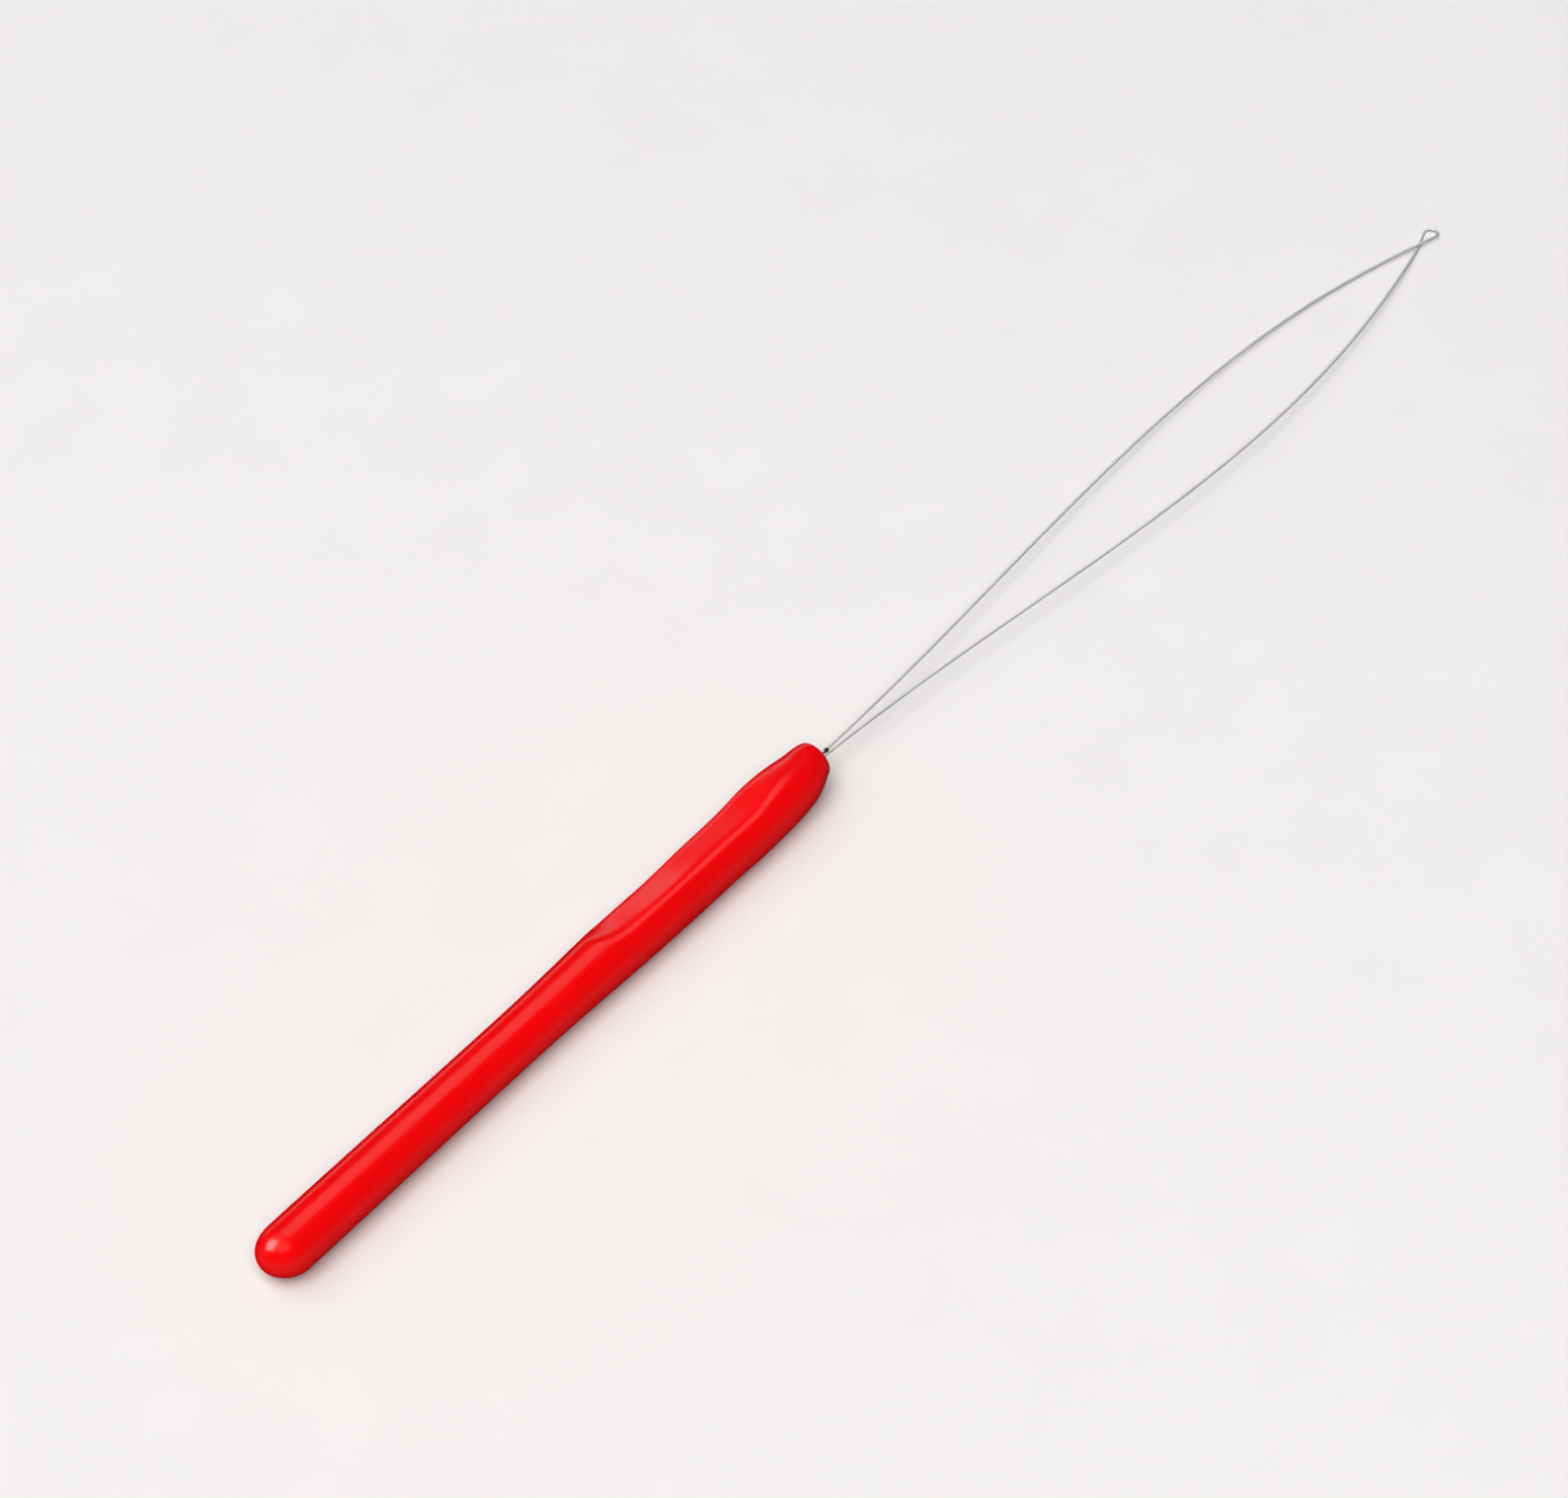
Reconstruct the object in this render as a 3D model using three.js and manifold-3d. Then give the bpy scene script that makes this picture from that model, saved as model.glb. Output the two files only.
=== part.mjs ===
// Bead threader: a moulded plastic handle with a thumb dish, and a spring-steel wire loop set into its nose.
// Millimetres, +Z up. The tool lies on its side, with the loop towards +X and its dish turned towards +Y.

import * as THREE from "three";
import { mergeVertices } from "three/addons/utils/BufferGeometryUtils.js";
import Module from "manifold-3d";

const wasm = await Module();
wasm.setup();

// Driving dimensions of the handle. Its waist is placed from the butt, and everything in front of that back
// from the nose face.
const handleLength = 100;
const buttRadius = 3.48;
const buttLength = 4.25;
const waistRadius = 3.36;
const waistAt = 44;
const gripRadius = 3.9;
const gripBack = 28;
const collarRadius = 4.06;
const collarRise = 10;
const noseLength = 11;
const noseFaceRadius = 2.45;
const noseRimFillet = 0.4;

// The nose sits a little to one side of the body's axis. Its blunt end leans over further that way, and so
// does the butt.
const noseLean = 0.16;
const noseLeanStartBack = 16;
const noseLeanEndBack = 10;
const tipLean = 0.5;
const tipLeanBack = 4;
const buttLean = 0.28;
const leanTurn = degrees(62);

// The thumb dish: a steep wall at its rear, a flat floor turned over towards +Y, a deeper and more turned
// hollow in the floor's rear half, and a long rise to the lip behind the nose. Heights are above the axis.
const dishRearBack = 42.2;
const dishWallLength = 3.2;
const dishHeight = 2.8;
const dishTurn = degrees(25);
const hollowStartBack = 38;
const hollowBack = 29;
const hollowEndBack = 21;
const hollowHeight = 2.56;
const hollowTurn = degrees(30);
const dishFrontBack = 14;
const dishLipBack = 7;
const dishLipHeight = 3.6;
const dishEdgeRounding = 0.9;

// The blind bore in the nose, which leans less than the nose's end, and the two wire tails held in it.
const boreRadius = 0.75;
const boreLean = 0.36;
const tailLength = 16.5;
const tailEndRoom = 1.5;
const plugClearance = 0.03;
const plugEndGap = 0.3;
const beadHeight = 0.35;
const slotClearance = 0.07;

// The wire loop, with places measured from the nose face along the loop's own centre line.
const wireDiameter = 0.36;
const tailGap = 0.1;
const crossingAt = 123.25;
const rootReach = 42.5;
const rootSplay = degrees(1.7);
const leftStrand = { side: 1, reach: 35, angle: degrees(19.2) };
const rightStrand = { side: -1, reach: 44, angle: degrees(17) };
const eyeRadius = 0.95;
const eyeTurn = degrees(6);
const crossingGap = 0.1;

// How the loop's plane leaves the nose: rolled about the handle, swung sideways, and drooping to the table.
const loopRoll = degrees(-6);
const loopSwing = degrees(-0.78);
const loopDroop = degrees(1.79);

// How finely the curved surfaces are faceted.
const handleSides = 64;
const buttRings = 9;
const bodyRings = 12;
const wallRings = 9;
const floorRings = 26;
const noseRings = 9;
const rimRings = 4;
const boreSides = 24;
const beadRings = 4;
const tailSteps = 2;
const bowSteps = 44;
const eyeLegSteps = 3;
const eyeArcSteps = 16;
const wireSides = 8;
const slotEndSides = 12;

// How far a cutter runs past the face that it cuts.
const cutOverrun = 1;

function degrees(angle) {
  return (angle * Math.PI) / 180;
}

// A ramp from 0 to 1 with level ends.
function ease(place, from, to) {
  const part = Math.min(Math.max((place - from) / (to - from), 0), 1);
  return part * part * (3 - 2 * part);
}

// A closed three.js geometry as a solid that can be cut.
function toSolid(geometry) {
  const bare = geometry.clone();
  bare.deleteAttribute("normal");
  bare.deleteAttribute("uv");
  const merged = mergeVertices(bare, 1e-4);
  const mesh = new wasm.Mesh({
    numProp: 3,
    vertProperties: merged.attributes.position.array,
    triVerts: new Uint32Array(merged.index.array),
  });
  return new wasm.Manifold(mesh);
}

// A cut solid as a three.js geometry again.
function toGeometry(solid) {
  const mesh = solid.getMesh();
  const geometry = new THREE.BufferGeometry();
  geometry.setAttribute("position", new THREE.BufferAttribute(mesh.vertProperties, 3));
  geometry.setIndex(new THREE.BufferAttribute(mesh.triVerts, 1));
  geometry.computeVertexNormals();
  return geometry;
}

// The same places measured from the butt.
const gripAt = handleLength - gripBack;
const dishRearAt = handleLength - dishRearBack;
const dishWallEnd = dishRearAt + dishWallLength;
const hollowAt = handleLength - hollowBack;
const dishLipAt = handleLength - dishLipBack;
const collarAt = handleLength - noseLength;

// The handle's radius before the dish is pressed in: butt, slight waist, grip swell, collar and blunt nose.
const noseReach = noseLength / Math.sqrt(1 - (noseFaceRadius / collarRadius) ** 2);

function handleRadius(place) {
  if (place > collarAt) {
    return collarRadius * Math.sqrt(1 - ((place - collarAt) / noseReach) ** 2);
  }
  const rear = THREE.MathUtils.lerp(buttRadius, waistRadius, ease(place, buttLength, waistAt));
  const grip = THREE.MathUtils.lerp(rear, gripRadius, ease(place, waistAt, gripAt));
  return THREE.MathUtils.lerp(grip, collarRadius, ease(place, collarAt - collarRise, collarAt));
}

// Half of the handle's outline, from the middle of the butt to the middle of the nose face.
function handleOutline() {
  const outline = [new THREE.Vector2(0, 0)];
  for (let i = 1; i <= buttRings; i++) {
    const turn = ((Math.PI / 2) * i) / buttRings;
    outline.push(new THREE.Vector2(buttRadius * Math.sin(turn), buttLength * (1 - Math.cos(turn))));
  }
  const addBody = (from, to, rings) => {
    for (let i = 1; i <= rings; i++) {
      const place = THREE.MathUtils.lerp(from, to, i / rings);
      outline.push(new THREE.Vector2(handleRadius(place), place));
    }
  };
  addBody(buttLength, dishRearAt, bodyRings);
  addBody(dishRearAt, dishWallEnd, wallRings);
  addBody(dishWallEnd, dishLipAt, floorRings);
  // The rim's fillet turns from the slope of the nose wall to the flat face.
  const wallSlope = Math.atan((collarRadius ** 2 / noseFaceRadius) * (noseLength / noseReach ** 2));
  const filletFrom = handleLength - noseRimFillet * (1 - Math.sin(wallSlope));
  addBody(dishLipAt, filletFrom, noseRings);
  const filletCentre = handleRadius(filletFrom) - noseRimFillet * Math.cos(wallSlope);
  for (let i = 1; i <= rimRings; i++) {
    const turn = THREE.MathUtils.lerp(wallSlope, Math.PI / 2, i / rimRings);
    outline.push(
      new THREE.Vector2(
        filletCentre + noseRimFillet * Math.cos(turn),
        handleLength - noseRimFillet + noseRimFillet * Math.sin(turn),
      ),
    );
  }
  outline.push(new THREE.Vector2(0, handleLength));
  return outline;
}

// The dish's flat floor at a place: its height above the handle's axis, and how far it is turned over.
function dishFloor(place) {
  const hollowIn = ease(place, handleLength - hollowStartBack, hollowAt);
  const hollow = hollowIn - ease(place, hollowAt, handleLength - hollowEndBack);
  const wallTop = gripRadius + dishEdgeRounding;
  const wall = ease(place, dishRearAt, dishWallEnd);
  const floor = THREE.MathUtils.lerp(wallTop, dishHeight, wall) + (hollowHeight - dishHeight) * hollow;
  return {
    height: THREE.MathUtils.lerp(floor, dishLipHeight, ease(place, handleLength - dishFrontBack, dishLipAt)),
    turn: THREE.MathUtils.lerp(dishTurn, hollowTurn, hollow),
  };
}

// The lower of two heights, with their crossing rounded over.
function roundedLower(a, b, rounding) {
  const blend = Math.max(rounding - Math.abs(a - b), 0) / rounding;
  return Math.min(a, b) - (blend ** 2 * rounding) / 4;
}

const boreDepth = tailLength + tailEndRoom;
const leanDirection = new THREE.Vector2(Math.sin(leanTurn), Math.cos(leanTurn));
const mouthPosition = new THREE.Vector3(handleLength, leanDirection.x * boreLean, leanDirection.y * boreLean);

// The moulded handle: a turned body with the dish pressed into it, its nose leaned over, and the bore cut.
function handleGeometry() {
  // Turned by half a facet, so that the handle lies on a flat and not on an edge.
  const body = new THREE.LatheGeometry(handleOutline(), handleSides, Math.PI / handleSides);
  body.rotateZ(-Math.PI / 2);
  const position = body.attributes.position;
  const out = new THREE.Vector2();
  const point = new THREE.Vector2();
  for (let i = 0; i < position.count; i++) {
    const place = position.getX(i);
    const floor = dishFloor(place);
    point.set(position.getY(i), position.getZ(i));
    out.set(Math.sin(floor.turn), Math.cos(floor.turn));
    const height = point.dot(out);
    if (height > 0 && place > dishRearAt && place < handleLength - noseRimFillet) {
      point.addScaledVector(out, roundedLower(height, floor.height, dishEdgeRounding) - height);
    }
    const noseShare = ease(place, handleLength - noseLeanStartBack, handleLength - noseLeanEndBack);
    const tipShare = ease(place, handleLength - tipLeanBack, handleLength);
    const buttShare = 1 - ease(place, 0, buttLength);
    const lean = noseLean * noseShare + tipLean * tipShare + buttLean * buttShare;
    point.addScaledVector(leanDirection, lean);
    position.setXYZ(i, place, point.x, point.y);
  }
  const bore = new THREE.CylinderGeometry(boreRadius, boreRadius, boreDepth + cutOverrun, boreSides);
  bore.rotateZ(-Math.PI / 2);
  bore.translate(mouthPosition.x - (boreDepth - cutOverrun) / 2, mouthPosition.y, mouthPosition.z);
  return toGeometry(toSolid(body).subtract(toSolid(bore)));
}

// Half the distance between the two tails' centre lines.
const tailOffset = (wireDiameter + tailGap) / 2;

// The set adhesive round the tails, ending in a low bead at the nose face. Its origin is at the bore's mouth.
function plugGeometry() {
  const plugRadius = boreRadius - plugClearance;
  const inner = -(boreDepth - plugEndGap);
  const outline = [new THREE.Vector2(0, inner), new THREE.Vector2(plugRadius, inner)];
  for (let i = 0; i <= beadRings; i++) {
    const turn = ((Math.PI / 2) * i) / beadRings;
    const radius = i < beadRings ? plugRadius * Math.cos(turn) : 0;
    outline.push(new THREE.Vector2(radius, beadHeight * Math.sin(turn)));
  }
  const plug = new THREE.LatheGeometry(outline, boreSides);
  plug.rotateZ(-Math.PI / 2);
  const slotRadius = wireDiameter / 2 + slotClearance;
  const slot = new THREE.Shape();
  slot.absarc(tailOffset, 0, slotRadius, -Math.PI / 2, Math.PI / 2);
  slot.absarc(-tailOffset, 0, slotRadius, Math.PI / 2, (3 * Math.PI) / 2);
  const slotLength = boreDepth + 2 * cutOverrun;
  const tunnel = new THREE.ExtrudeGeometry(slot, {
    depth: slotLength,
    curveSegments: slotEndSides / 2,
    bevelEnabled: false,
  });
  // The slot's length is turned to the handle's axis, and its width stays in the loop's plane.
  tunnel.rotateX(-Math.PI / 2);
  tunnel.rotateZ(-Math.PI / 2);
  tunnel.translate(cutOverrun - slotLength, 0, 0);
  return toGeometry(toSolid(plug).subtract(toSolid(tunnel)));
}

// A path through stations that each get one ring of the wire, whatever the distance between them.
class StationPath extends THREE.Curve {
  constructor(stations) {
    super();
    this.stations = stations;
  }

  getPoint(share, target = new THREE.Vector3()) {
    const place = share * (this.stations.length - 1);
    const index = Math.min(Math.floor(place), this.stations.length - 2);
    return target.lerpVectors(this.stations[index], this.stations[index + 1], place - index);
  }

  getPointAt(share, target) {
    return this.getPoint(share, target);
  }

  getTangentAt(share, target) {
    return this.getTangent(share, target);
  }
}

const eyeHalfAngle = (leftStrand.angle + rightStrand.angle) / 2;
const eyeLean = (rightStrand.angle - leftStrand.angle) / 2 + eyeTurn;
const eyeLegLength = eyeRadius / Math.tan(eyeHalfAngle);
const crossingToTip = eyeLegLength + eyeRadius * (Math.PI / 2 + eyeHalfAngle);

// How far the wire is lifted out of the loop's plane, so that its strands pass over each other.
// The distance runs along the wire from the tip of the eye: above the plane on one side, below on the other.
function crossingLift(fromTip) {
  const share = fromTip / crossingToTip;
  return ((wireDiameter + crossingGap) / 2) * share * Math.exp((1 - share ** 2) / 2);
}

// The bowed strand on one side, from the nose face to the crossing, in the loop's own plane.
function strandStations(strand) {
  const bow = new THREE.CubicBezierCurve(
    new THREE.Vector2(0, tailOffset),
    new THREE.Vector2(rootReach, tailOffset + rootReach * Math.tan(rootSplay)),
    new THREE.Vector2(crossingAt - strand.reach, strand.reach * Math.tan(strand.angle)),
    new THREE.Vector2(crossingAt, 0),
  );
  return bow.getPoints(bowSteps).map((point) => {
    const lift = crossingLift(strand.side * (crossingToTip + crossingAt - point.x));
    return new THREE.Vector3(point.x, strand.side * point.y, lift);
  });
}

// The teardrop eye beyond the crossing: one leg, an arc round the tip, and the other leg.
function eyeStations() {
  const stations = [];
  const toLoop = (x, y, fromTip) => {
    const turned = new THREE.Vector2(x, y).rotateAround(new THREE.Vector2(), eyeLean);
    stations.push(new THREE.Vector3(crossingAt + turned.x, turned.y, crossingLift(fromTip)));
  };
  const leg = (side, share) => {
    const length = eyeLegLength * share;
    const fromTip = -side * (crossingToTip - length);
    toLoop(length * Math.cos(eyeHalfAngle), side * length * Math.sin(eyeHalfAngle), fromTip);
  };
  for (let i = 1; i <= eyeLegSteps; i++) {
    leg(-1, i / eyeLegSteps);
  }
  const centre = eyeRadius / Math.sin(eyeHalfAngle);
  const halfTurn = Math.PI / 2 + eyeHalfAngle;
  for (let i = 1; i < eyeArcSteps; i++) {
    const turn = THREE.MathUtils.lerp(-halfTurn, halfTurn, i / eyeArcSteps);
    toLoop(centre + eyeRadius * Math.cos(turn), eyeRadius * Math.sin(turn), -turn * eyeRadius);
  }
  for (let i = eyeLegSteps; i >= 1; i--) {
    leg(1, i / eyeLegSteps);
  }
  return stations;
}

// The wire in one length: tail, left strand, eye, right strand, tail. Its origin is at the bore's mouth.
function wireGeometry() {
  const plane = new THREE.Matrix4().makeRotationFromEuler(new THREE.Euler(0, loopDroop, loopSwing, "ZYX"));
  const loop = [...strandStations(leftStrand), ...eyeStations(), ...strandStations(rightStrand).reverse()];
  const stations = loop.map((point) => point.applyMatrix4(plane));
  const first = stations[0].clone();
  const last = stations[stations.length - 1].clone();
  for (let i = 1; i <= tailSteps; i++) {
    const back = (tailLength * i) / tailSteps;
    stations.unshift(new THREE.Vector3(first.x - back, first.y, first.z));
    stations.push(new THREE.Vector3(last.x - back, last.y, last.z));
  }
  const section = new THREE.Shape().absarc(0, 0, wireDiameter / 2, 0, 2 * Math.PI);
  return new THREE.ExtrudeGeometry(section, {
    steps: stations.length - 1,
    curveSegments: wireSides / 2,
    extrudePath: new StationPath(stations),
  });
}

function piece(name, geometry, material) {
  const mesh = new THREE.Mesh(geometry, material);
  mesh.name = name;
  return mesh;
}

const redPlastic = new THREE.MeshStandardMaterial({ color: 0xe3060b, roughness: 0.28, metalness: 0 });
const springSteel = new THREE.MeshStandardMaterial({ color: 0x9b9b97, roughness: 0.35, metalness: 1 });
const adhesive = new THREE.MeshStandardMaterial({ color: 0x6e5a50, roughness: 0.3, metalness: 0 });

// The bore's mouth carries the wire and the adhesive, rolled together about the handle's axis.
const mouth = new THREE.Group();
mouth.position.copy(mouthPosition);
mouth.rotation.x = loopRoll;
mouth.add(piece("wire_loop", wireGeometry(), springSteel));
mouth.add(piece("adhesive_plug", plugGeometry(), adhesive));

const tool = new THREE.Group();
tool.add(piece("handle", handleGeometry(), redPlastic));
tool.add(mouth);

// The part's origin is at the middle of its box, on the table that it lies on.
const box = new THREE.Box3().setFromObject(tool, true);
const middle = box.getCenter(new THREE.Vector3());
tool.position.set(-middle.x, -middle.y, -box.min.z);

const part = new THREE.Group();
part.add(tool);

export default part;
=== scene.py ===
# Bead threader: a glossy red handle with a thumb dish, and a bowed loop of spring wire set into its nose.
# The pieces are drawn in millimetres and then brought to metres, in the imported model's own frame.
# The camera, the table's width and the lamps are in metres from the start.

import math

import bmesh
import bpy
from mathutils import Matrix, Vector


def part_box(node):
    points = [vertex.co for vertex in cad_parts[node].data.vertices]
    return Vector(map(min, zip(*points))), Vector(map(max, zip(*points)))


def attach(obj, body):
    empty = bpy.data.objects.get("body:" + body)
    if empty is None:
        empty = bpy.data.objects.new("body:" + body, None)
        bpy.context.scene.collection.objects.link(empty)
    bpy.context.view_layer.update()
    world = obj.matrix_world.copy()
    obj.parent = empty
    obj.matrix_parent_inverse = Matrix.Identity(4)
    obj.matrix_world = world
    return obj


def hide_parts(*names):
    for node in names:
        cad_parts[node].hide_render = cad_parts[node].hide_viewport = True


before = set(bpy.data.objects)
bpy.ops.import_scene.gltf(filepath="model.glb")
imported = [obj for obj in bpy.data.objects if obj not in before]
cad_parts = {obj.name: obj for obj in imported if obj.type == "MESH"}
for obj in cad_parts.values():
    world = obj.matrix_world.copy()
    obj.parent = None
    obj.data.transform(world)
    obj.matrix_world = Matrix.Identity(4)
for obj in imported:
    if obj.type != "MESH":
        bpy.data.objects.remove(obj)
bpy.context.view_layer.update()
scene = bpy.context.scene
scene.view_settings.view_transform = "Standard"
MILLIMETRE = 0.001


# The camera
# It looks down at the table from the handle's rear right, 50 degrees up, as the photograph does.
# The long lens keeps the handle and the loop nearly parallel in the picture.
camera_azimuth = math.radians(-49.914)
camera_elevation = math.radians(49.901)
camera_distance = 0.760
camera_aim = Vector((-0.01238, 0.00803, 0.00025))
lens_length = 139.92
sensor_width = 36

camera_back = Vector(
    (
        math.sin(camera_azimuth) * math.cos(camera_elevation),
        -math.cos(camera_azimuth) * math.cos(camera_elevation),
        math.sin(camera_elevation),
    )
)
camera_data = bpy.data.cameras.new("photo_camera")
camera_data.sensor_fit = "HORIZONTAL"
camera_data.sensor_width = sensor_width
camera_data.lens = lens_length
camera = bpy.data.objects.new("photo_camera", camera_data)
camera.location = camera_aim + camera_back * camera_distance
camera.rotation_euler = (math.pi / 2 - camera_elevation, 0, camera_azimuth)
scene.collection.objects.link(camera)
scene.camera = camera


# The table
# A plain matt board in a warm off-white, far wider than the picture, that the tool lies on.
# Its reflection is left out of the gloss, because the photograph's shaded red side shows none of it.
table_width = 8
table_tint = (0.741, 0.724, 0.714, 1)
table_shade = (0.729, 0.712, 0.702, 1)
table_roughness = 0.9
table_gloss = 0.1
board_mottle = (14, 14, 14)
board_fibre = (0.9, 0.5, 0.5)
board_relief = 0.004


def shader_nodes(name):
    """A new node material, its node tree and its Principled shader."""
    material = bpy.data.materials.new(name)
    material.use_nodes = True
    tree = material.node_tree
    return material, tree, tree.nodes["Principled BSDF"]


def own_coordinates(tree):
    """The piece's own coordinates in metres, which its surface patterns are laid out in."""
    return tree.nodes.new("ShaderNodeTexCoord").outputs["Object"]


def add_node(tree, kind, inputs, **settings):
    """The first output of a new node with these settings, and these values or links on its inputs."""
    node = tree.nodes.new(kind)
    for name, value in settings.items():
        setattr(node, name, value)
    for name, value in inputs.items():
        if isinstance(value, bpy.types.NodeSocket):
            tree.links.new(value, node.inputs[name])
        else:
            node.inputs[name].default_value = value
    return node.outputs[0]


def grain(tree, coordinates, sizes, detail=2):
    """Noise whose marks have these sizes in millimetres along X, Y and Z."""
    marks_per_metre = [1 / (size * MILLIMETRE) for size in sizes]
    stretched = add_node(tree, "ShaderNodeMapping", {"Vector": coordinates, "Scale": marks_per_metre})
    return add_node(tree, "ShaderNodeTexNoise", {"Vector": stretched, "Scale": 1, "Detail": detail})


def spread(tree, value, low, high, start=0.3, end=0.7):
    """A value's range from start to end, which most noise keeps to, brought to the range from low to high."""
    limits = {"Value": value, "From Min": start, "From Max": end, "To Min": low, "To Max": high}
    return add_node(tree, "ShaderNodeMapRange", limits)


def blend(tree, share, first, second):
    """A colour that goes from the first to the second, each a value or a link."""
    node = tree.nodes.new("ShaderNodeMix")
    node.data_type = "RGBA"
    node.clamp_factor = True
    # These sockets go by number, because the node's sockets for other types of value share their names.
    factor, first_colour, second_colour = node.inputs[0], node.inputs[6], node.inputs[7]
    tree.links.new(share, factor)
    for socket, colour in ((first_colour, first), (second_colour, second)):
        if isinstance(colour, bpy.types.NodeSocket):
            tree.links.new(colour, socket)
        else:
            socket.default_value = colour
    return node.outputs[2]


def bump(tree, height, relief, below=None, **settings):
    """The surface below, raised by a height from 0 to 1 times a relief in millimetres."""
    inputs = {"Height": height, "Strength": 1, "Distance": relief * MILLIMETRE}
    if below is not None:
        inputs["Normal"] = below
    return add_node(tree, "ShaderNodeBump", inputs, **settings)


def piece_from(bm, name, material):
    """A finished bmesh as an object at the origin, smooth shaded, with its material."""
    mesh = bpy.data.meshes.new(name)
    bm.to_mesh(mesh)
    bm.free()
    mesh.shade_smooth()
    mesh.materials.append(material)
    piece = bpy.data.objects.new(name, mesh)
    scene.collection.objects.link(piece)
    return piece


table_matt, tree, shader = shader_nodes("matt_board")
coordinates = own_coordinates(tree)
mottle = spread(tree, grain(tree, coordinates, board_mottle), 0, 1)
tree.links.new(blend(tree, mottle, table_shade, table_tint), shader.inputs["Base Color"])
fibre = grain(tree, coordinates, board_fibre)
tree.links.new(bump(tree, fibre, board_relief), shader.inputs["Normal"])
shader.inputs["Roughness"].default_value = table_roughness
shader.inputs["Specular IOR Level"].default_value = table_gloss
bm = bmesh.new()
bmesh.ops.create_grid(bm, x_segments=1, y_segments=1, size=table_width / 2)
table_top = piece_from(bm, "table_top", table_matt)
table_top.visible_glossy = False


# The light
# A soft studio: an even room and two wide softboxes, one overhead and one behind, light the table and the
# tool without showing in the gloss. Three more lamps show only as reflections: one runs along the barrel, a
# small window on the left shines on the butt, and a card on the horizon fills the dish.
room_radiance = 0.153
lamp_distance = 3

world = bpy.data.worlds.new("studio_room")
scene.world = world
world.use_nodes = True
background = world.node_tree.nodes["Background"]
background.inputs["Color"].default_value = (1, 1, 1, 1)
background.inputs["Strength"].default_value = room_radiance
world.cycles_visibility.glossy = False


def softbox(name, towards, width, height, radiance, in_gloss):
    """A rectangular lamp facing the tool, which either shows only in its gloss or only lights it.

    Its width, along the tool, and its height are shares of its distance. Its radiance is what a perfect
    mirror would show.
    """
    data = bpy.data.lights.new(name, "AREA")
    data.shape = "RECTANGLE"
    data.size = width * lamp_distance
    data.size_y = height * lamp_distance
    data.energy = radiance * math.pi * data.size * data.size_y
    lamp = bpy.data.objects.new(name, data)
    direction = Vector(towards).normalized()
    lamp.location = direction * lamp_distance
    across = direction.cross(Vector((1, 0, 0))).normalized()
    along = across.cross(direction)
    lamp.rotation_euler = Matrix((along, across, direction)).transposed().to_euler()
    lamp.visible_glossy = in_gloss
    lamp.visible_diffuse = not in_gloss
    scene.collection.objects.link(lamp)


softbox(
    "overhead_softbox", towards=(-0.4, -0.21, 0.9), width=0.64, height=0.81, radiance=6.93, in_gloss=False
)
softbox("rear_softbox", towards=(-0.2, 0.45, 0.87), width=0.65, height=0.65, radiance=1.7, in_gloss=False)
softbox("barrel_softbox", towards=(0.37, 0.3, 0.87), width=0.51, height=0.71, radiance=0.86, in_gloss=True)
softbox("left_window", towards=(-0.52, 0.455, 0.72), width=0.6, height=0.6, radiance=6.8, in_gloss=True)
softbox("horizon_card", towards=(0.5, 0.86, 0.035), width=1.14, height=0.16, radiance=1.0, in_gloss=True)


# The handle
# One injection moulding in glossy red plastic: a slim barrel with a round butt, a pressed thumb dish and a
# blunt nose that leans a little to one side. A blind bore in the nose face holds the wire's tails. Places are
# measured from the butt, and heights and leans from the axis.
handle_length = 100
butt_radius = 3.48
butt_length = 4.25
butt_lean = 0.28
waist_radius = 3.36
waist_at = 44
grip_radius = 3.9
grip_at = 72
collar_radius = 4.058
collar_rise = 10
nose_length = 11
nose_face_radius = 2.45
nose_rim_fillet = 0.4
nose_lean = 0.16
nose_lean_from = 84
nose_lean_to = 90
tip_lean = 0.5
tip_lean_from = 96
lean_turn = math.radians(62)
dish_rear_at = 57.8
dish_scoop_length = 7
dish_scoop_power = 2.5
dish_height = 2.8
dish_turn = math.radians(25)
hollow_from = 62
hollow_at = 71
hollow_to = 79
hollow_height = 2.56
hollow_turn = math.radians(30)
dish_front_at = 86
dish_lip_at = 93
dish_lip_height = 3.6
dish_edge_rounding = 0.9
worn_and_lit_depth = 0.6
bore_radius = 0.75
bore_lean = 0.36
bore_depth = 18
mouth_rounding = 0.06

# How finely the handle is drawn.
handle_sides = 160
butt_rings = 24
barrel_rings = 60
dish_rings = 110
nose_rings = 45
rim_rings = 8
mouth_rings = 4
merge_distance = 0.0005

# The solid handle lies on one of its flats, so this round one is drawn in to the same distance from the axis.
solid_flats = 64
flat_share = math.cos(math.pi / solid_flats)

# The nose is an ellipse that would close at this reach from the collar, but is cut off at the nose face.
collar_at = handle_length - nose_length
nose_reach = nose_length / math.sqrt(1 - (nose_face_radius / collar_radius) ** 2)
lean_direction = Vector((math.sin(lean_turn), math.cos(lean_turn)))


def between(start, end, share):
    """The value that lies this share of the way from start to end."""
    return start + (end - start) * share


def ease(place, start, end):
    """A ramp from 0 to 1 with level ends."""
    share = min(max((place - start) / (end - start), 0), 1)
    return share * share * (3 - 2 * share)


def handle_radius(place):
    """The turned body's radius at a place."""
    if place > collar_at:
        return collar_radius * math.sqrt(1 - ((place - collar_at) / nose_reach) ** 2)
    rear = between(butt_radius, waist_radius, ease(place, butt_length, waist_at))
    grip = between(rear, grip_radius, ease(place, waist_at, grip_at))
    return between(grip, collar_radius, ease(place, collar_at - collar_rise, collar_at))


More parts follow.
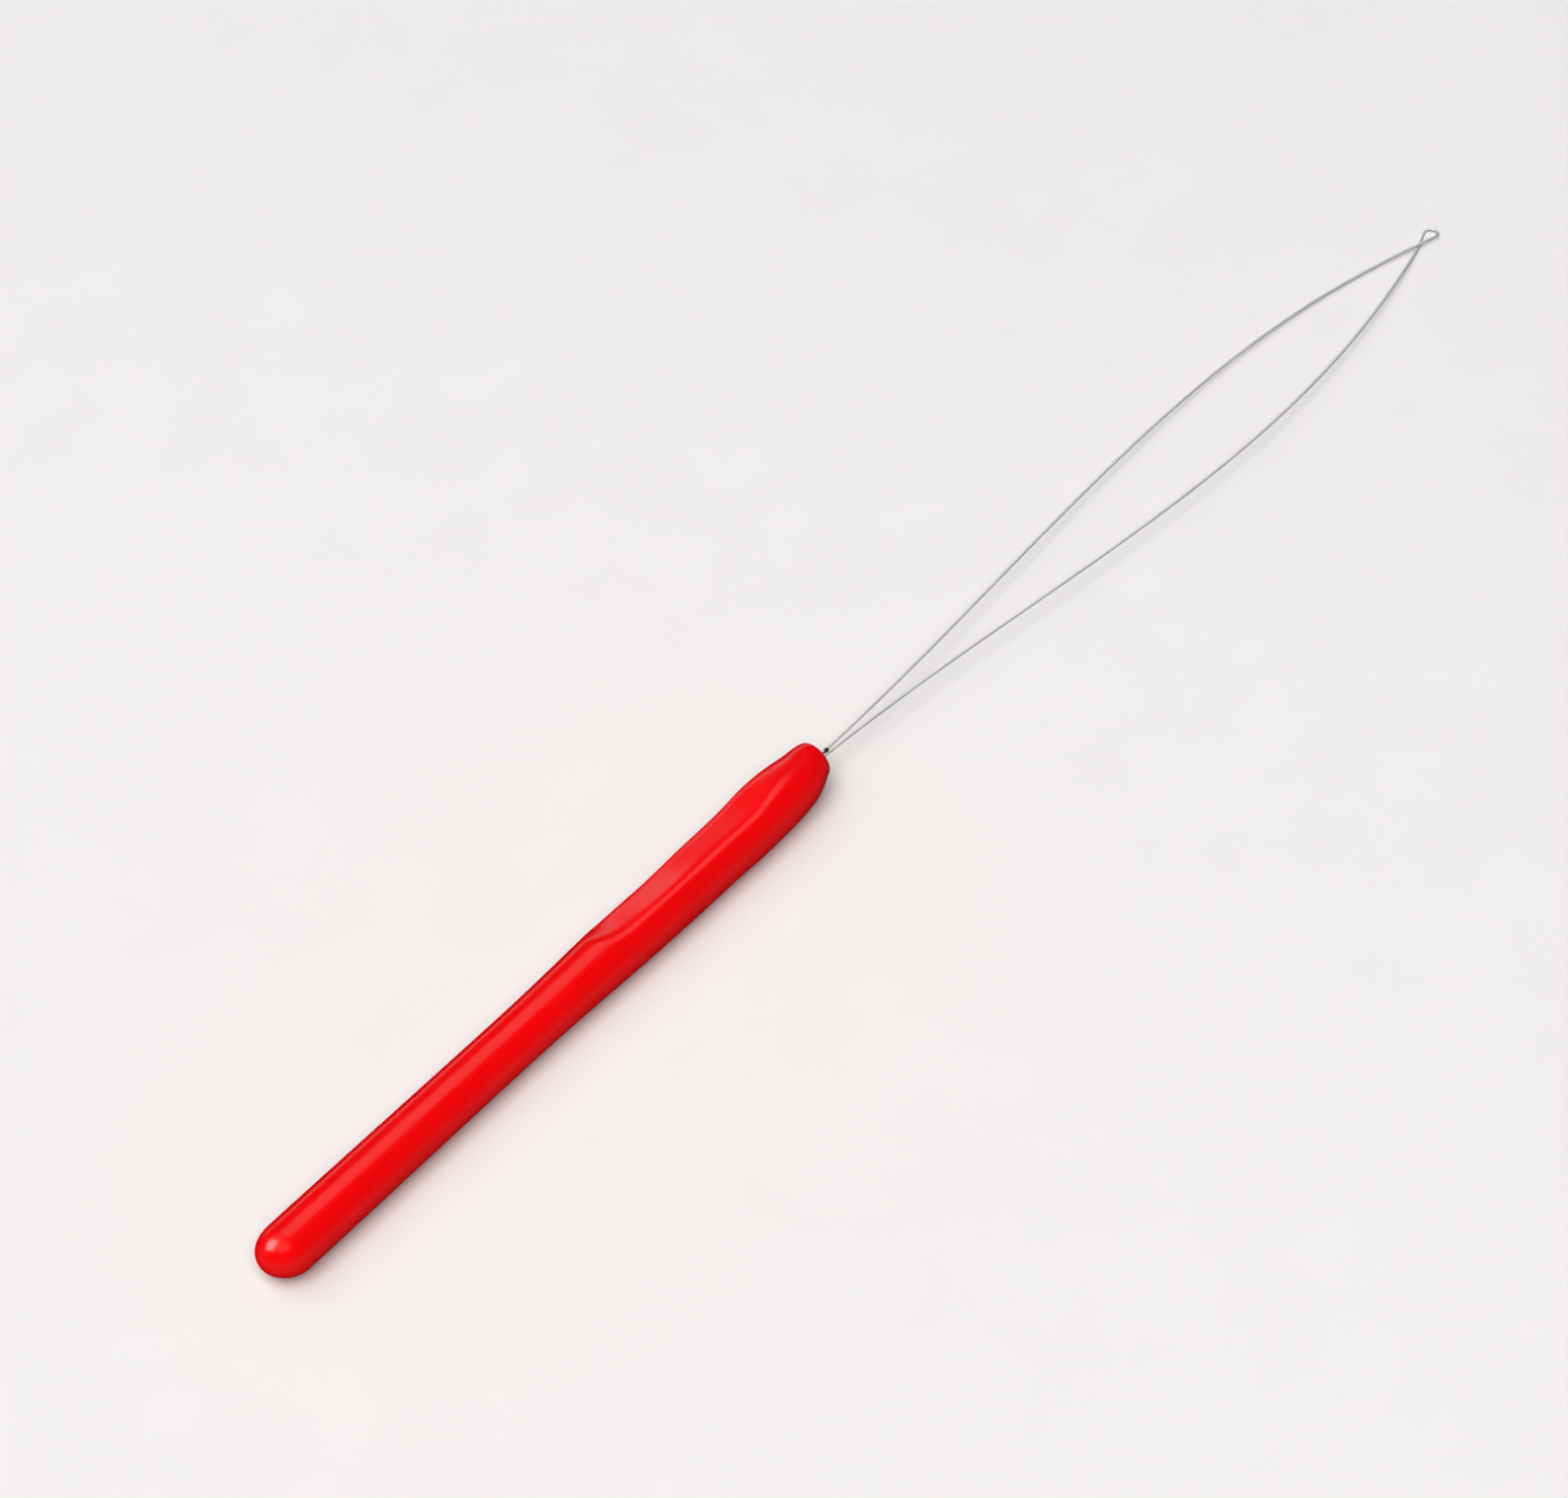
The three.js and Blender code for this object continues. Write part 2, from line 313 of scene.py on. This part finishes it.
def handle_outline():
    """Half the outline as (place, radius): butt, barrel, nose, rim, nose face, mouth and bore."""
    outline = [(0, 0)]
    for i in range(1, butt_rings + 1):
        turn = math.pi / 2 * i / butt_rings
        outline.append((butt_length * (1 - math.cos(turn)), butt_radius * math.sin(turn)))
    # The rim's rounding starts at the nose wall's own slope.
    wall_slope = math.atan(collar_radius ** 2 / nose_face_radius * nose_length / nose_reach ** 2)
    rim_from = handle_length - nose_rim_fillet * (1 - math.sin(wall_slope))
    stretches = (
        (butt_length, dish_rear_at, barrel_rings),
        (dish_rear_at, dish_lip_at, dish_rings),
        (dish_lip_at, rim_from, nose_rings),
    )
    for start, end, rings in stretches:
        for i in range(1, rings + 1):
            place = between(start, end, i / rings)
            outline.append((place, handle_radius(place)))
    rim_centre = handle_radius(rim_from) - nose_rim_fillet * math.cos(wall_slope)
    for i in range(1, rim_rings + 1):
        turn = between(wall_slope, math.pi / 2, i / rim_rings)
        place = handle_length - nose_rim_fillet * (1 - math.sin(turn))
        outline.append((place, rim_centre + nose_rim_fillet * math.cos(turn)))
    for i in range(mouth_rings + 1):
        turn = math.pi / 2 * i / mouth_rings
        place = handle_length - mouth_rounding * (1 - math.cos(turn))
        outline.append((place, bore_radius + mouth_rounding * (1 - math.sin(turn))))
    outline.append((handle_length - bore_depth, bore_radius))
    outline.append((handle_length - bore_depth, 0))
    return outline


def revolve(bm, outline, sides):
    """Turns an outline of (place, radius) points about the X axis into a closed skin."""
    points = [bm.verts.new((place, radius, 0)) for place, radius in outline]
    edges = [bm.edges.new(pair) for pair in zip(points, points[1:])]
    bmesh.ops.spin(
        bm,
        geom=points + edges,
        cent=(0, 0, 0),
        axis=(1, 0, 0),
        dvec=(0, 0, 0),
        angle=2 * math.pi,
        steps=sides,
        use_merge=True,
    )
    bmesh.ops.remove_doubles(bm, verts=bm.verts, dist=merge_distance)


def dish_floor(place):
    """The dish's flat floor at a place: its height, and how far it is turned over to the left."""
    hollow = ease(place, hollow_from, hollow_at) - ease(place, hollow_at, hollow_to)
    wall_top = grip_radius + dish_edge_rounding
    scoop_left = 1 - min(max((place - dish_rear_at) / dish_scoop_length, 0), 1)
    height = between(dish_height, wall_top, scoop_left ** dish_scoop_power)
    height += (hollow_height - dish_height) * hollow
    height = between(height, dish_lip_height, ease(place, dish_front_at, dish_lip_at))
    return height, between(dish_turn, hollow_turn, hollow)


def rounded_lower(first, second, rounding):
    """The lower of two heights, with their crossing rounded over."""
    nearness = max(rounding - abs(first - second), 0) / rounding
    return min(first, second) - nearness ** 2 * rounding / 4


bm = bmesh.new()
pressed = bm.verts.layers.float.new("pressed")
revolve(bm, handle_outline(), handle_sides)
bmesh.ops.recalc_face_normals(bm, faces=bm.faces)

# The dish is pressed in, turning a little along the handle, and the nose and the butt are leaned over. The
# bore leans by one amount all along, so it stays straight.
bore_from = handle_length - bore_depth - mouth_rounding
bore_reach = bore_radius + 2 * mouth_rounding
for vert in bm.verts:
    place = vert.co.x
    section = Vector((vert.co.y, vert.co.z)) * flat_share
    if section.length < bore_reach and place > bore_from:
        lean = bore_lean
    else:
        floor_height, turn = dish_floor(place)
        out = Vector((math.sin(turn), math.cos(turn)))
        height = section.dot(out)
        if height > 0 and dish_rear_at < place < handle_length - nose_rim_fillet:
            depth = height - rounded_lower(height, floor_height, dish_edge_rounding)
            section -= out * depth
            # This mark gives the dish its duller gloss and its painted light.
            vert[pressed] = min(depth / worn_and_lit_depth, 1)
        lean = nose_lean * ease(place, nose_lean_from, nose_lean_to)
        lean += tip_lean * ease(place, tip_lean_from, handle_length)
        lean += butt_lean * (1 - ease(place, 0, butt_length))
    section += lean_direction * lean
    vert.co = Vector((place, section.x, section.y))

# The bore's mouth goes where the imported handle's front face and the plug's middle meet.
handle_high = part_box("handle")[1]
plug_low, plug_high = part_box("adhesive_plug")
mouth = Vector((handle_high.x, (plug_low.y + plug_high.y) / 2, (plug_low.z + plug_high.z) / 2))
bore_centre = Vector((handle_length, lean_direction.x * bore_lean, lean_direction.y * bore_lean))
butt = mouth - bore_centre * MILLIMETRE
at_butt = Matrix.Translation(butt) @ Matrix.Scale(MILLIMETRE, 4)
bmesh.ops.transform(bm, matrix=at_butt, verts=bm.verts)

# Glossy plastic: the melt's flow shows as faint streaks and shallow sink waves along the moulding, with a
# fine orange-peel skin and hairline scratches from use, which are only the crests of their noise. Thumbs have
# rubbed the dish a little duller where the "pressed" attribute marks it. The same mark paints the dish a
# paler red, which is painted light: it stands in for more light falling into the dish.
red_light = (0.8, 0.0004, 0.002, 1)
red_dark = (0.75, 0.0003, 0.0015, 1)
red_dish_painted_light = (0.87, 0.0008, 0.003, 1)
gloss_roughness = 0.22
gloss_variation = 0.015
rubbed_roughness = 0.03
scratch_roughness = 0.04
flow_marks = (16, 1.7, 1.7)
sink_waves = (5, 1.6, 1.6)
sink_relief = 0.012
skin_marks = (0.4, 0.4, 0.4)
skin_relief = 0.00025
scratch_marks = (4, 0.04, 0.04)
scratch_detail = 1
scratch_crests = (0.68, 0.8)
scratch_relief = 0.0002


def multiply_add(tree, value, factor, added):
    """The value times the factor, and the added value on top."""
    return add_node(tree, "ShaderNodeMath", {0: value, 1: factor, 2: added}, operation="MULTIPLY_ADD")


handle_plastic, tree, shader = shader_nodes("glossy_red_plastic")
coordinates = own_coordinates(tree)
flow = spread(tree, grain(tree, coordinates, flow_marks), 0, 1)
worn_and_painted_lit = add_node(tree, "ShaderNodeAttribute", {}, attribute_name="pressed")
# The paler red in the dish is painted light, not wear.
red = blend(tree, worn_and_painted_lit, blend(tree, flow, red_dark, red_light), red_dish_painted_light)
tree.links.new(red, shader.inputs["Base Color"])
scratches = spread(tree, grain(tree, coordinates, scratch_marks, scratch_detail), 0, 1, *scratch_crests)
sinks = grain(tree, coordinates, sink_waves)
patchy = spread(tree, sinks, gloss_roughness - gloss_variation, gloss_roughness + gloss_variation)
scratched = multiply_add(tree, scratches, scratch_roughness, patchy)
tree.links.new(multiply_add(tree, worn_and_painted_lit, rubbed_roughness, scratched), shader.inputs["Roughness"])
waves = bump(tree, sinks, sink_relief)
skin = bump(tree, grain(tree, coordinates, skin_marks), skin_relief, waves)
hairlines = bump(tree, scratches, scratch_relief, skin, invert=True)
tree.links.new(hairlines, shader.inputs["Normal"])

handle = piece_from(bm, "handle_moulding", handle_plastic)
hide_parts("handle")
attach(handle, "root")


# The wire loop
# One length of drawn spring steel wire, bent double: two strands bow apart, cross near the tip and close in a
# small teardrop eye. Its two tails run back into the handle's bore, where the adhesive holds them. The solid
# wire is 0.36 mm thick over the corners of its 8 sides, and this round one lies within its flats.
wire_diameter = 0.325
wire_sides = 16
strand_spacing = 0.46
tail_length = 16.5
crossing_at = 123.25
root_reach = 42.5
root_splay = math.radians(1.7)
left_reach = 35
left_angle = math.radians(19.2)
right_reach = 44
right_angle = math.radians(17)
eye_radius = 0.95
eye_turn = math.radians(6)
strands_apart = 0.46
loop_roll = math.radians(-6)
loop_swing = math.radians(-0.78)
loop_droop = math.radians(1.79)
strand_steps = 100
leg_steps = 8
arc_steps = 40

strand_root = strand_spacing / 2
eye_half_angle = (left_angle + right_angle) / 2
eye_lean = (right_angle - left_angle) / 2
eye_leg = eye_radius / math.tan(eye_half_angle)
crossing_to_tip = eye_leg + eye_radius * (math.pi / 2 + eye_half_angle)


def crossing_lift(from_tip):
    """Height above the loop's plane, which brings one strand over the other and is greatest at the crossing.

    The distance from the tip runs along the wire, plus towards the left strand and minus towards the right.
    """
    share = from_tip / crossing_to_tip
    return strands_apart / 2 * share * math.exp((1 - share ** 2) / 2)


def strand_path(side, reach, angle):
    """One bowed strand in the loop's plane, from the nose face to the crossing, as a cubic curve."""
    root = Vector((0, strand_root))
    root_control = root + Vector((root_reach, root_reach * math.tan(root_splay)))
    tip_control = Vector((crossing_at - reach, reach * math.tan(angle)))
    crossing = Vector((crossing_at, 0))
    path = []
    for i in range(strand_steps + 1):
        share = i / strand_steps
        rest = 1 - share
        point = root * rest ** 3
        point += root_control * 3 * rest ** 2 * share
        point += tip_control * 3 * rest * share ** 2
        point += crossing * share ** 3
        lift = crossing_lift(side * (crossing_to_tip + crossing_at - point.x))
        path.append(Vector((point.x, side * point.y, lift)))
    return path


def eye_leg_point(side, length):
    """A point on one of the eye's legs, this length from the crossing, and its distance from the tip."""
    out = length * math.cos(eye_half_angle)
    across = side * length * math.sin(eye_half_angle)
    return out, across, side * (length - crossing_to_tip)


def eye_path():
    """The teardrop eye beyond the crossing: one leg, an arc round the tip, and the other leg."""
    leg_lengths = [eye_leg * i / leg_steps for i in range(1, leg_steps + 1)]
    flat = [eye_leg_point(-1, length) for length in leg_lengths]
    centre = eye_radius / math.sin(eye_half_angle)
    half_turn = math.pi / 2 + eye_half_angle
    for i in range(1, arc_steps):
        turn = between(-half_turn, half_turn, i / arc_steps)
        flat.append((centre + eye_radius * math.cos(turn), eye_radius * math.sin(turn), -turn * eye_radius))
    flat += [eye_leg_point(1, length) for length in reversed(leg_lengths)]
    turned = Matrix.Rotation(eye_lean + eye_turn, 4, "Z")
    crossing = Vector((crossing_at, 0, 0))
    return [turned @ Vector((x, y, crossing_lift(from_tip))) + crossing for x, y, from_tip in flat]


def move_ring(bm, verts, start, end, old_heading, new_heading):
    """Carries a ring of the wire to its next station and turns it to the new heading."""
    bmesh.ops.translate(bm, verts=verts, vec=end - start)
    turn = old_heading.rotation_difference(new_heading).to_matrix()
    bmesh.ops.rotate(bm, verts=verts, cent=end, matrix=turn)


left = strand_path(1, left_reach, left_angle)
right = strand_path(-1, right_reach, right_angle)
loop_plane = Matrix.Rotation(loop_swing, 4, "Z") @ Matrix.Rotation(loop_droop, 4, "Y")
loop = [loop_plane @ point for point in left + eye_path() + right[::-1]]
tail = Vector((tail_length, 0, 0))
stations = [loop[0] - tail, loop[0] - tail / 2, *loop, loop[-1] - tail / 2, loop[-1] - tail]

# A ring of the wire's section is carried from station to station. The "drawn" attribute is the wire laid out
# straight: the place on its section in X and Y, and the run along it in Z.
bm = bmesh.new()
drawn = bm.verts.layers.float_vector.new("drawn")
ring = bmesh.ops.create_circle(bm, cap_ends=True, segments=wire_sides, radius=wire_diameter / 2)["verts"]
for vert in ring:
    vert[drawn] = vert.co * MILLIMETRE
heading = Vector((0, 0, 1))
position = Vector((0, 0, 0))
for i, station in enumerate(stations):
    before = stations[max(i - 1, 0)]
    after = stations[min(i + 1, len(stations) - 1)]
    new_heading = (after - before).normalized()
    if i > 0:
        edges = [edge for edge in bm.edges if edge.verts[0] in ring and edge.verts[1] in ring]
        grown = bmesh.ops.extrude_edge_only(bm, edges=edges)["geom"]
        ring = [part for part in grown if isinstance(part, bmesh.types.BMVert)]
        for vert in ring:
            vert[drawn] += Vector((0, 0, (station - position).length * MILLIMETRE))
    move_ring(bm, ring, position, station, heading, new_heading)
    position = station
    heading = new_heading
bmesh.ops.contextual_create(bm, geom=ring)
bmesh.ops.recalc_face_normals(bm, faces=bm.faces)
at_mouth = Matrix.Translation(mouth) @ Matrix.Rotation(loop_roll, 4, "X") @ Matrix.Scale(MILLIMETRE, 4)
bmesh.ops.transform(bm, matrix=at_mouth, verts=bm.verts)

# Bare steel with fine die lines drawn along it, and dull patches.
steel_light = (0.95, 0.95, 0.93, 1)
steel_dark = (0.82, 0.815, 0.8, 1)
steel_metallic = 0.6
steel_roughness = (0.36, 0.48)
die_lines = (0.06, 0.06, 9)
die_relief = 0.0015
dull_patches = (0.4, 0.4, 3)

spring_steel, tree, shader = shader_nodes("drawn_spring_steel")
laid_out = add_node(tree, "ShaderNodeAttribute", {}, attribute_name="drawn")
lines = grain(tree, laid_out, die_lines)
patches = spread(tree, grain(tree, laid_out, dull_patches), 0, 1)
tree.links.new(blend(tree, patches, steel_dark, steel_light), shader.inputs["Base Color"])
tree.links.new(spread(tree, lines, *steel_roughness), shader.inputs["Roughness"])
tree.links.new(bump(tree, lines, die_relief), shader.inputs["Normal"])
shader.inputs["Metallic"].default_value = steel_metallic

wire_loop = piece_from(bm, "wire_loop_drawn", spring_steel)
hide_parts("wire_loop")
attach(wire_loop, "root")


# The adhesive
# Clear resin that sets dark in the bore round the two tails, with a low bead at the nose face. It has crept
# up both strands, and a drop of it set on the left one makes the dark dot at the nose. That drop is painted
# shade: a dark mark standing in for the shade where the wires leave the bore. The creep and the drop are
# outlines: each pair is a run from the nose face and the resin's radius there.
bead_radius = 0.72
bead_height = 0.33
resin_length = 17.6
creep = [(0.02, 0.4), (0.2, 0.33), (0.45, 0.25), (0.75, 0.19), (1, 0.15)]
shade_drop = [(1.7, 0.15), (1.78, 0.22), (1.88, 0.28), (2.05, 0.31), (2.2, 0.28), (2.3, 0.22), (2.37, 0.15)]
resin_sides = 32
bead_rings = 10


def closed(outline):
    """The outline with both its ends brought in to the axis."""
    return [(outline[0][0], 0), *outline, (outline[-1][0], 0)]


bead_turns = [math.pi / 2 * i / bead_rings for i in range(bead_rings)]
bead = [(-resin_length, 0), (-resin_length, bead_radius)]
bead += [(bead_height * math.sin(turn), bead_radius * math.cos(turn)) for turn in bead_turns]
bead.append((bead_height, 0))
bm = bmesh.new()
revolve(bm, bead, resin_sides)
for vert in bm.verts:
    vert.tag = True
# Each strand's resin is moved onto its strand, and tagged points are in place already.
# The left strand's resin carries the drop, a dark mark of painted shade.
for outline, offset in ((closed(creep), -strand_root), (closed(creep + shade_drop), strand_root)):
    revolve(bm, outline, resin_sides)
    for vert in bm.verts:
        if not vert.tag:
            vert.co = loop_plane @ (vert.co + Vector((0, offset, 0)))
            vert.tag = True
bmesh.ops.recalc_face_normals(bm, faces=bm.faces)
bmesh.ops.transform(bm, matrix=at_mouth, verts=bm.verts)

# Dark, slightly uneven resin with a smooth meniscus skin.
resin_dark = (0.025, 0.004, 0.005, 1)
resin_light = (0.06, 0.012, 0.012, 1)
resin_roughness = (0.18, 0.3)
resin_clouds = (0.6, 0.6, 0.6)
resin_relief = 0.002

resin, tree, shader = shader_nodes("set_resin")
clouds = grain(tree, own_coordinates(tree), resin_clouds)
cloudiness = spread(tree, clouds, 0, 1)
tree.links.new(blend(tree, cloudiness, resin_dark, resin_light), shader.inputs["Base Color"])
tree.links.new(spread(tree, clouds, *resin_roughness), shader.inputs["Roughness"])
tree.links.new(bump(tree, clouds, resin_relief), shader.inputs["Normal"])

adhesive = piece_from(bm, "adhesive_bead", resin)
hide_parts("adhesive_plug")
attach(adhesive, "root")
